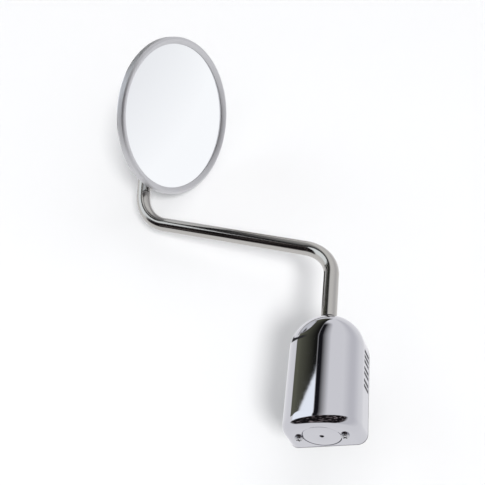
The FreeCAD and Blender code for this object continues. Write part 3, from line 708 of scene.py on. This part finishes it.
def repeated(name, fastener, points, place, turn_step, material):
    """One piece made of a fastener at each point of a place, facing along the place's X."""
    mesh = bpy.data.meshes.new(name)
    mesh.from_pydata([place @ Vector(p) for p in points], [], [])
    piece = new_object(name, mesh)
    nodes_modifier = modifier(piece, "NODES", node_group=REPEAT)
    set_input(nodes_modifier, "Fastener", fastener)
    set_input(nodes_modifier, "Turn step", turn_step)
    set_input(nodes_modifier, "Lie", place.to_euler())
    set_input(nodes_modifier, "Finish", material)
    applied(piece)
    bpy.data.objects.remove(fastener)
    return piece


REPEAT = repeat_tree()
AT_ORIGIN = Matrix.Identity(4)


def pan_head_screw():
    """A pan head with a cross recess, and its shank; its axis is X and its seat is at zero."""
    head, radius, shank = FOOT_SCREW_HEAD, FOOT_SCREW_HEAD_R, FOOT_SCREW_SHANK_R
    tip = -FOOT_SCREW_LENGTH
    outline = rounded(
        [(head, 0), (head, radius), (0, radius), (0, shank), (tip, shank), (tip, 0)],
        [0, 1.5 * MM, 0.3 * MM, 0, 0.5 * MM, 0], steps=8)
    screw = turned_piece("pan_head", outline, AT_ORIGIN, 48)
    slots = bmesh.new()
    for long, wide in ((RECESS_WIDTH, RECESS_LENGTH), (RECESS_LENGTH, RECESS_WIDTH)):
        blade = bmesh.ops.create_cube(slots, size=1.0)["verts"]
        bmesh.ops.scale(slots, vec=(2 * RECESS_DEPTH, long, wide), verts=blade)
        bmesh.ops.translate(slots, vec=(head, 0, 0), verts=blade)
    mesh = bpy.data.meshes.new("recess")
    slots.to_mesh(mesh)
    slots.free()
    modifier(screw, "BOOLEAN", operation="DIFFERENCE", object=new_object("recess", mesh),
             solver="EXACT", use_self=True)
    applied(screw)
    bpy.data.objects.remove(bpy.data.objects["recess"])
    return smooth(screw, 35)


def foot_screws():
    """The two screws whose heads hold the disc's edge."""
    points = [(0, side * FOOT_SCREW_X, 0) for side in (-1, 1)]
    screws = repeated("foot_pan_screws", pan_head_screw(), points, UNDER_BASE, 0.6, SCREW_CHROME)
    return finish(screws, "base", "screw_steel", ["foot_screws"], SCREW_CHROME)


def rivet_form():
    """A domed head with a short shank behind it; its seat is at zero."""
    outline = rounded(
        [(RIVET_R, 0), (RIVET_R, RIVET_R), (0, RIVET_R), (0, RIVET_HEAD_R),
         (-RIVET_HEAD_THICK, RIVET_HEAD_R), (-RIVET_HEAD_THICK, 0)],
        [0, 0, 0, 0.3 * MM, 1.4 * MM, 0], steps=8)
    return smooth(turned_piece("rivet", outline, AT_ORIGIN, 40), 35)


def head_rivets():
    """Four dome-headed rivets that hold the bracket to the shell."""
    points = [(RIVET_BACK, side, up) for side in (-RIVET_SIDE, RIVET_SIDE)
              for up in (-RIVET_UP, RIVET_UP)]
    rivets = repeated("shell_rivets", rivet_form(), points, HEAD, 0.0, FINISHES["screw_steel"])
    return finish(rivets, "head", "screw_steel", ["head_rivets"])


def bar_form():
    """A short plain bar of paint with rounded edges."""
    shape = bmesh.new()
    bmesh.ops.create_cube(shape, size=1.0)
    bmesh.ops.scale(shape, vec=(MARK_THICK, MARK_LENGTH, MARK_WIDTH), verts=shape.verts)
    bmesh.ops.bevel(shape, geom=shape.edges, offset=MARK_EDGE, segments=2, affect="EDGES")
    mesh = bpy.data.meshes.new("bar")
    shape.to_mesh(mesh)
    shape.free()
    return new_object("bar", mesh)


def marking_bars():
    """A column of plain dark bars on the cover's side, where such a base carries its markings."""
    surface = Vector((COVER_HIGH.x - 0.51 * MARK_THICK, -10.5 * MM, 0))
    heights = [26, 20.6, 15.2, 8, 2.6, -5, -10.4]
    points = [(0, 0, height * MM) for height in heights]
    bars = repeated("marking_bars", bar_form(), points, placed(surface, X, Y, Z), 0.0, MARK_PAINT)
    return finish(bars, "base", "rubber", [], MARK_PAINT)


# --- arm --------------------------------------------------------------------------------------
def tube_tree():
    """Rounds the corners of a path and sweeps a circle along it."""
    tree = bpy.data.node_groups.new("bent_tube", "GeometryNodeTree")
    face = tree.interface
    face.new_socket("Geometry", in_out="INPUT", socket_type="NodeSocketGeometry")
    face.new_socket("Tube radius", in_out="INPUT", socket_type="NodeSocketFloat")
    face.new_socket("Bend radius", in_out="INPUT", socket_type="NodeSocketFloat")
    face.new_socket("Finish", in_out="INPUT", socket_type="NodeSocketMaterial")
    face.new_socket("Geometry", in_out="OUTPUT", socket_type="NodeSocketGeometry")
    given = add(tree, "NodeGroupInput")
    path = add(tree, "GeometryNodeMeshToCurve", {"Mesh": given.outputs["Geometry"]})
    bends = add(tree, "GeometryNodeFilletCurve",
                {"Curve": path.outputs[0], "Count": BEND_STEPS,
                 "Radius": given.outputs["Bend radius"]}, mode="POLY")
    along = add(tree, "GeometryNodeSplineParameter")
    measured = add(tree, "GeometryNodeStoreNamedAttribute",
                   {"Geometry": bends.outputs[0], "Name": "along",
                    "Value": along.outputs["Length"]}, data_type="FLOAT", domain="POINT")
    circle = add(tree, "GeometryNodeCurvePrimitiveCircle",
                 {"Resolution": TUBE_TURNS, "Radius": given.outputs["Tube radius"]}, mode="RADIUS")
    spot = add(tree, "GeometryNodeInputPosition")
    marked = add(tree, "GeometryNodeStoreNamedAttribute",
                 {"Geometry": circle.outputs[0], "Name": "round_place",
                  "Value": spot.outputs[0]}, data_type="FLOAT_VECTOR", domain="POINT")
    swept = add(tree, "GeometryNodeCurveToMesh",
                {"Curve": measured.outputs[0], "Profile Curve": marked.outputs[0]})
    distance = add(tree, "GeometryNodeInputNamedAttribute", {"Name": "along"}, data_type="FLOAT")
    ring = add(tree, "GeometryNodeInputNamedAttribute", {"Name": "round_place"},
               data_type="FLOAT_VECTOR")
    lift = add(tree, "ShaderNodeCombineXYZ", {"Z": distance.outputs[0]})
    total = add(tree, "ShaderNodeVectorMath", {0: ring.outputs[0], 1: lift.outputs[0]},
                operation="ADD")
    drawn = add(tree, "GeometryNodeStoreNamedAttribute",
                {"Geometry": swept.outputs[0], "Name": "drawn", "Value": total.outputs[0]},
                data_type="FLOAT_VECTOR", domain="POINT")
    made = add(tree, "GeometryNodeSetMaterial",
               {"Geometry": drawn.outputs[0], "Material": given.outputs["Finish"]})
    add(tree, "NodeGroupOutput", {0: made.outputs[0]})
    return tree


def arm_tube():
    """The arm: one tube with two bends, from inside the base to above the clamp."""
    second_corner = FIRST_CORNER + RUN * RUN_LENGTH
    end = CLAMP_CENTRE + POST * TUBE_ABOVE_CLAMP_CENTRE
    corners = [TUBE_FOOT, FIRST_CORNER, second_corner, end]
    mesh = bpy.data.meshes.new("arm_tube_skin")
    mesh.from_pydata(corners, [(0, 1), (1, 2), (2, 3)], [])
    tube = new_object("arm_tube_skin", mesh)
    nodes_modifier = modifier(tube, "NODES", node_group=tube_tree())
    set_input(nodes_modifier, "Tube radius", TUBE_R)
    set_input(nodes_modifier, "Bend radius", BEND_R)
    set_input(nodes_modifier, "Finish", FINISHES["tube_steel"])
    applied(tube)
    recalculated(tube.data)
    modifier(tube, "SOLIDIFY", thickness=TUBE_WALL, offset=-1.0, use_even_offset=True)
    applied(tube)
    smooth(tube, 50)
    return finish(tube, "arm", "tube_steel", ["arm_tube"])


def end_cap():
    """The push-in cap with a domed lid and a small moulding dimple."""
    low, top = TUBE_ABOVE_CLAMP_CENTRE, TUBE_ABOVE_CLAMP_CENTRE + CAP_LID
    dimple = top - CAP_DIMPLE_DEPTH
    stem, stem_end = TUBE_R - TUBE_WALL, low - CAP_STEM
    outline = rounded(
        [(dimple, 0), (dimple, CAP_DIMPLE_R), (top, 1.5 * CAP_DIMPLE_R), (top, TUBE_R),
         (low, TUBE_R), (low, stem), (stem_end, stem), (stem_end, 0)],
        [0, 0.3 * MM, 0.3 * MM, 1.5 * MM, 0.2 * MM, 0, 0.8 * MM, 0], steps=6)
    along_post = placed(CLAMP_CENTRE, POST, CLAMP_FORWARD, POST.cross(CLAMP_FORWARD))
    cap = smooth(turned_piece("tube_cap_lid", outline, along_post, TUBE_TURNS), 35)
    return finish(cap, "arm", "black_plastic", ["tube_end_cap"])


# --- head --------------------------------------------------------------------------------------
def sphere_drop(curve_r, radius):
    """How far a sphere's surface falls behind its crown at a radius."""
    return curve_r - math.sqrt(curve_r ** 2 - radius ** 2)


GLASS_CROWN = sphere_drop(GLASS_CURVE_R, SIGHT_R)


def mirror_glass():
    """The convex glass, front and back ground to one curve, with a seamed edge."""
    steps = 32
    radii = [GLASS_R * i / steps for i in range(steps + 1)]
    front = [Vector((GLASS_CROWN - sphere_drop(GLASS_CURVE_R, r), r)) for r in radii]
    back = [Vector((p.x - GLASS_THICK, p.y)) for p in reversed(front)]
    glass = smooth(turned_piece("convex_mirror_glass", front + back, HEAD, HEAD_TURNS), 50)
    return finish(glass, "head", "mirror_glass", ["mirror_glass"])


def rim_bezel():
    """The bezel: a flat satin slope up from the glass, a rounded crest and a rolled skirt."""
    inner = RIM_R - RIM_THICK
    crest = through((RIM_HEIGHT, RIM_CREST_R), (RIM_HEIGHT - RIM_BOW_DROP, RIM_R - RIM_BOW_IN),
                    (RIM_SHOULDER, RIM_R), 14)
    under_crest = RIM_HEIGHT - RIM_THICK
    outside = [(0.15 * MM, SIGHT_R)] + [tuple(p) for p in crest] + [(-RIM_SKIRT, RIM_R)]
    inside = [(-RIM_SKIRT, inner), (0.9 * MM, inner), (under_crest, RIM_CREST_R),
              (0.3 * MM, 87.8 * MM)]
    rounds = [0.12 * MM] + [0] * len(crest) + [0.5 * MM, 0.4 * MM, 0, 0, 0]
    rim = turned_piece("satin_bezel", rounded(outside + inside, rounds), HEAD, HEAD_TURNS)
    return finish(smooth(rim, 40), "head", "rim_metal", ["rim_bezel"])


def back_shell():
    """The dished pan, with a straight wall, a soft corner and a bowed back."""
    outer = RIM_R - RIM_THICK
    inner = outer - SHELL_THICK
    floor = SHELL_BACK + SHELL_THICK
    bow_steps = 40
    bow_out = through((SHELL_WALL_END, outer), (SHELL_BOW_BACK, SHELL_BOW_R),
                      (SHELL_BACK, SHELL_FLAT_R), bow_steps)
    bow_in = through((floor, SHELL_FLAT_R), (SHELL_BOW_BACK + SHELL_THICK, SHELL_BOW_R),
                     (SHELL_WALL_END, inner), bow_steps)
    outline = [Vector((SHELL_LIP, inner)), Vector((SHELL_LIP, outer))]
    outline += bow_out + [Vector((SHELL_BACK, 0)), Vector((floor, 0))] + bow_in
    shell = smooth(turned_piece("dished_back_shell", outline, HEAD, HEAD_TURNS), 60)
    return finish(shell, "head", "shell_steel", ["back_shell"])


# --- nodes kept from the frame ---------------------------------------------------------------
def softened(node, body, edge, name):
    """A copy of a node with its edges broken, as on a pressed, turned or moulded piece."""
    edge_angle, flat_angle = 32, 1
    mesh = frame["nodes"][node].data.copy()
    shape = bmesh.new()
    shape.from_mesh(mesh)
    bmesh.ops.remove_doubles(shape, verts=shape.verts, dist=0.002 * MM)
    bmesh.ops.dissolve_limit(shape, angle_limit=math.radians(flat_angle), verts=shape.verts,
                             edges=shape.edges)
    shape.to_mesh(mesh)
    shape.free()
    piece = new_object(name, mesh)
    modifier(piece, "BEVEL", width=edge, segments=3, limit_method="ANGLE",
             angle_limit=math.radians(edge_angle), use_clamp_overlap=True)
    applied(piece)
    smooth(piece, edge_angle)
    return finish(piece, body, SLOTS[node], [node])


for node, cad_object in frame["nodes"].items():
    cad_object.data.materials.clear()
    cad_object.data.materials.append(FINISHES[SLOTS[node]])

base_cover()
closing_disc()
foot_screws()
marking_bars()
arm_tube()
end_cap()
mirror_glass()
rim_bezel()
back_shell()
head_rivets()
softened("base_gasket", "base", 0.3 * MM, "panel_gasket")
softened("tube_seal", "base", 0.4 * MM, "tube_entry_seal")
softened("mount_plate", "base", 0.4 * MM, "fixing_plate")
softened("clamp_saddle", "clamp", 0.5 * MM, "clamp_saddle_half")
softened("clamp_cap", "clamp", 0.5 * MM, "clamp_cap_half")
softened("clamp_screws", "clamp", 0.2 * MM, "clamp_socket_screws")
softened("clamp_nuts", "clamp", 0.3 * MM, "clamp_hex_nuts")
softened("clamp_liner", "clamp", 0.2 * MM, "clamp_sleeve")
softened("head_bracket", "head", 0.4 * MM, "riveted_bracket")
softened("tilt_bolt", "head", 0.3 * MM, "tilt_hex_bolt")
softened("tilt_nut", "head", 0.3 * MM, "tilt_hex_nut")
softened("tilt_washers", "head", 0.15 * MM, "tilt_fibre_washers")


# --- stage, light and camera -------------------------------------------------------------------
def view_axes():
    """Right, up and forward of the camera."""
    yaw, pitch, roll = (math.radians(a) for a in (CAMERA_YAW, CAMERA_PITCH, CAMERA_ROLL))
    forward = Vector((math.sin(yaw) * math.cos(pitch), math.cos(yaw) * math.cos(pitch),
                      math.sin(pitch)))
    level = Vector((math.cos(yaw), -math.sin(yaw), 0))
    upright = level.cross(forward)
    right = level * math.cos(roll) + upright * math.sin(roll)
    up = upright * math.cos(roll) - level * math.sin(roll)
    return right, up, forward


RIGHT, UP, FORWARD = view_axes()


def camera():
    data = bpy.data.cameras.new("camera")
    data.lens = CAMERA_LENS
    data.sensor_width = SENSOR_WIDTH
    data.clip_start = 0.01
    data.clip_end = 50
    made = bpy.data.objects.new("camera", data)
    bpy.context.scene.collection.objects.link(made)
    made.matrix_world = placed(CAMERA_PLACE, RIGHT, UP, -FORWARD)
    bpy.context.scene.camera = made


def pale_sheet(name, centre, normal, half_size, glow):
    """A plain pale sheet, clear from behind, that no metal reflects and no light is stopped by."""
    side = normal.orthogonal().normalized()
    other = normal.cross(side)
    corners = [centre + (side * a + other * b) * half_size
               for a, b in ((-1, -1), (1, -1), (1, 1), (-1, 1))]
    mesh = bpy.data.meshes.new(name)
    mesh.from_pydata(corners, [], [(0, 1, 2, 3)])
    sheet = new_object(name, mesh)
    material = bpy.data.materials.new(name + "_paper")
    material.use_nodes = True
    tree = material.node_tree
    tree.nodes.clear()
    paper = add(tree, "ShaderNodeBsdfDiffuse", {"Color": (*[PAPER_LEVEL] * 3, 1)})
    shine = add(tree, "ShaderNodeEmission", {"Color": (1, 1, 1, 1), "Strength": glow})
    both = add(tree, "ShaderNodeAddShader", {0: paper.outputs[0], 1: shine.outputs[0]})
    clear = add(tree, "ShaderNodeBsdfTransparent")
    behind = add(tree, "ShaderNodeNewGeometry").outputs["Backfacing"]
    mixed = add(tree, "ShaderNodeMixShader", {0: behind, 1: both.outputs[0], 2: clear.outputs[0]})
    add(tree, "ShaderNodeOutputMaterial", {0: mixed.outputs[0]})
    mesh.materials.append(material)
    sheet.visible_glossy = False
    sheet.visible_shadow = False


def stage():
    """A sheet just behind the object, leaning as the arm does, and a floor far below."""
    leaning = RIGHT.cross(KNUCKLE - PIVOT).normalized()
    if leaning.dot(FORWARD) > 0:
        leaning.negate()
    reach = min(vertex.co.dot(leaning) for node in frame["nodes"].values()
                for vertex in node.data.vertices)
    middle = (PIVOT + KNUCKLE) / 2
    centre = middle + leaning * (reach - BACKDROP_GAP - middle.dot(leaning))
    pale_sheet("pale_backdrop", centre, leaning, BACKDROP_HALF_SIZE, 0.0)
    pale_sheet("pale_floor", Z * FLOOR_HEIGHT, Z, FLOOR_HALF_SIZE, FLOOR_GLOW)


def key_light():
    """A broad soft lamp just right of the camera; the shadow falls close and to the left."""
    travel = (FORWARD - RIGHT * LAMP_FROM_RIGHT - UP * LAMP_FROM_ABOVE).normalized()
    data = bpy.data.lights.new("key", "SUN")
    data.energy = LAMP_STRENGTH
    data.angle = LAMP_WIDTH
    lamp = bpy.data.objects.new("key", data)
    bpy.context.scene.collection.objects.link(lamp)
    lamp.rotation_mode = "QUATERNION"
    lamp.rotation_quaternion = travel.to_track_quat("-Z", "Y")
    lamp.visible_glossy = False


def product(tree, first, second):
    return add(tree, "ShaderNodeMath", {0: first, 1: second}, operation="MULTIPLY").outputs[0]


def ramp(tree, value, start, end):
    """Zero at start and one at end, kept between the two outside them."""
    return add(tree, "ShaderNodeMapRange",
               {"Value": value, "From Min": start, "From Max": end}).outputs[0]


def zone(tree, value, low, high, soft):
    """One between low and high, falling to zero over a soft edge on each side."""
    return product(tree, ramp(tree, value, low - soft, low + soft),
                   ramp(tree, value, high + soft, high - soft))


def painted(tree, under, cover_colour, amount):
    """One colour over another by an amount."""
    mix = add(tree, "ShaderNodeMix", {0: amount, 6: under, 7: cover_colour}, data_type="RGBA")
    return mix.outputs[2]


def studio():
    """A white room with a few dark and bright panels that the chrome and the tube reflect."""
    world = bpy.data.worlds.new("studio")
    world.use_nodes = True
    bpy.context.scene.world = world
    tree = world.node_tree
    tree.nodes.clear()
    place = add(tree, "ShaderNodeTexCoord").outputs["Generated"]
    parts = add(tree, "ShaderNodeSeparateXYZ", {0: place})
    front = add(tree, "ShaderNodeMath", {0: parts.outputs[1], 1: -1.0}, operation="MULTIPLY")
    turn = add(tree, "ShaderNodeMath", {0: parts.outputs[0], 1: front.outputs[0]},
               operation="ARCTAN2")
    azimuth = add(tree, "ShaderNodeMath", {0: turn.outputs[0]}, operation="DEGREES").outputs[0]
    rise = add(tree, "ShaderNodeMath", {0: parts.outputs[2]}, operation="ARCSINE")
    elevation = add(tree, "ShaderNodeMath", {0: rise.outputs[0]}, operation="DEGREES").outputs[0]

    # A grey wall on the right tones down the cover's right side.
    shade = painted(tree, ROOM_LIGHT, colour("#d9d9de"), zone(tree, azimuth, *WALL_ACROSS))
    # A dark room on the left deepens from olive to black, down to a slanted horizon.
    horizon = add(tree, "ShaderNodeMath", {0: azimuth, 1: HORIZON_SLOPE, 2: HORIZON_AT_FRONT},
                  operation="MULTIPLY_ADD").outputs[0]
    above = add(tree, "ShaderNodeMath", {0: elevation, 1: horizon}, operation="SUBTRACT").outputs[0]
    dark_room = product(tree, zone(tree, azimuth, *ROOM_ACROSS),
                        zone(tree, above, *ROOM_OVER_HORIZON))
    room_colour = painted(tree, colour("#6b6c5e"), colour("#1e1e1c"),
                          ramp(tree, azimuth, *ROOM_DEEPENS))
    shade = painted(tree, shade, room_colour, dark_room)
    # A bright window under that horizon gives the cover its pale sail-shaped light.
    window = product(tree, zone(tree, azimuth, *WINDOW_ACROSS),
                     zone(tree, above, *WINDOW_UNDER_HORIZON))
    shade = painted(tree, shade, WINDOW_LIGHT, window)
    # A black post beside them gives the black streak down the cover's front.
    post_sides = product(tree, ramp(tree, azimuth, *POST_LEFT_EDGE),
                         ramp(tree, azimuth, *POST_RIGHT_EDGE))
    post = product(tree, post_sides, zone(tree, elevation, *POST_UP))
    shade = painted(tree, shade, colour("#1c1c20"), post)
    # A dark ceiling edge gives the upright tube its dark left side.
    ceiling = product(tree, zone(tree, azimuth, *CEILING_ACROSS),
                      zone(tree, elevation, *CEILING_UP))
    shade = painted(tree, shade, colour("#38383a"), ceiling)
    # Dark ground with a little clutter gives the black band over the cover's foot.
    tilted = add(tree, "ShaderNodeMath", {0: azimuth, 1: -GROUND_SLOPE, 2: elevation},
                 operation="MULTIPLY_ADD").outputs[0]
    below = product(tree, zone(tree, azimuth, *GROUND_ACROSS), zone(tree, tilted, *GROUND_UP))
    clutter = add(tree, "ShaderNodeTexNoise",
                  {"Vector": place, "Scale": CLUTTER_SCALE, "Detail": 3.0})
    ground = painted(tree, colour("#1a181a"), colour("#94898a"),
                     ramp(tree, clutter.outputs["Fac"], *CLUTTER_EDGE))
    shade = painted(tree, shade, ground, below)
    is_camera = add(tree, "ShaderNodeLightPath").outputs["Is Camera Ray"]
    shade = painted(tree, shade, SEEN_BACKGROUND, is_camera)
    glow = add(tree, "ShaderNodeBackground", {"Color": shade, "Strength": 1.0})
    add(tree, "ShaderNodeOutputWorld", {0: glow.outputs[0]})


camera()
stage()
key_light()
studio()
bpy.context.scene.view_settings.view_transform = "Standard"
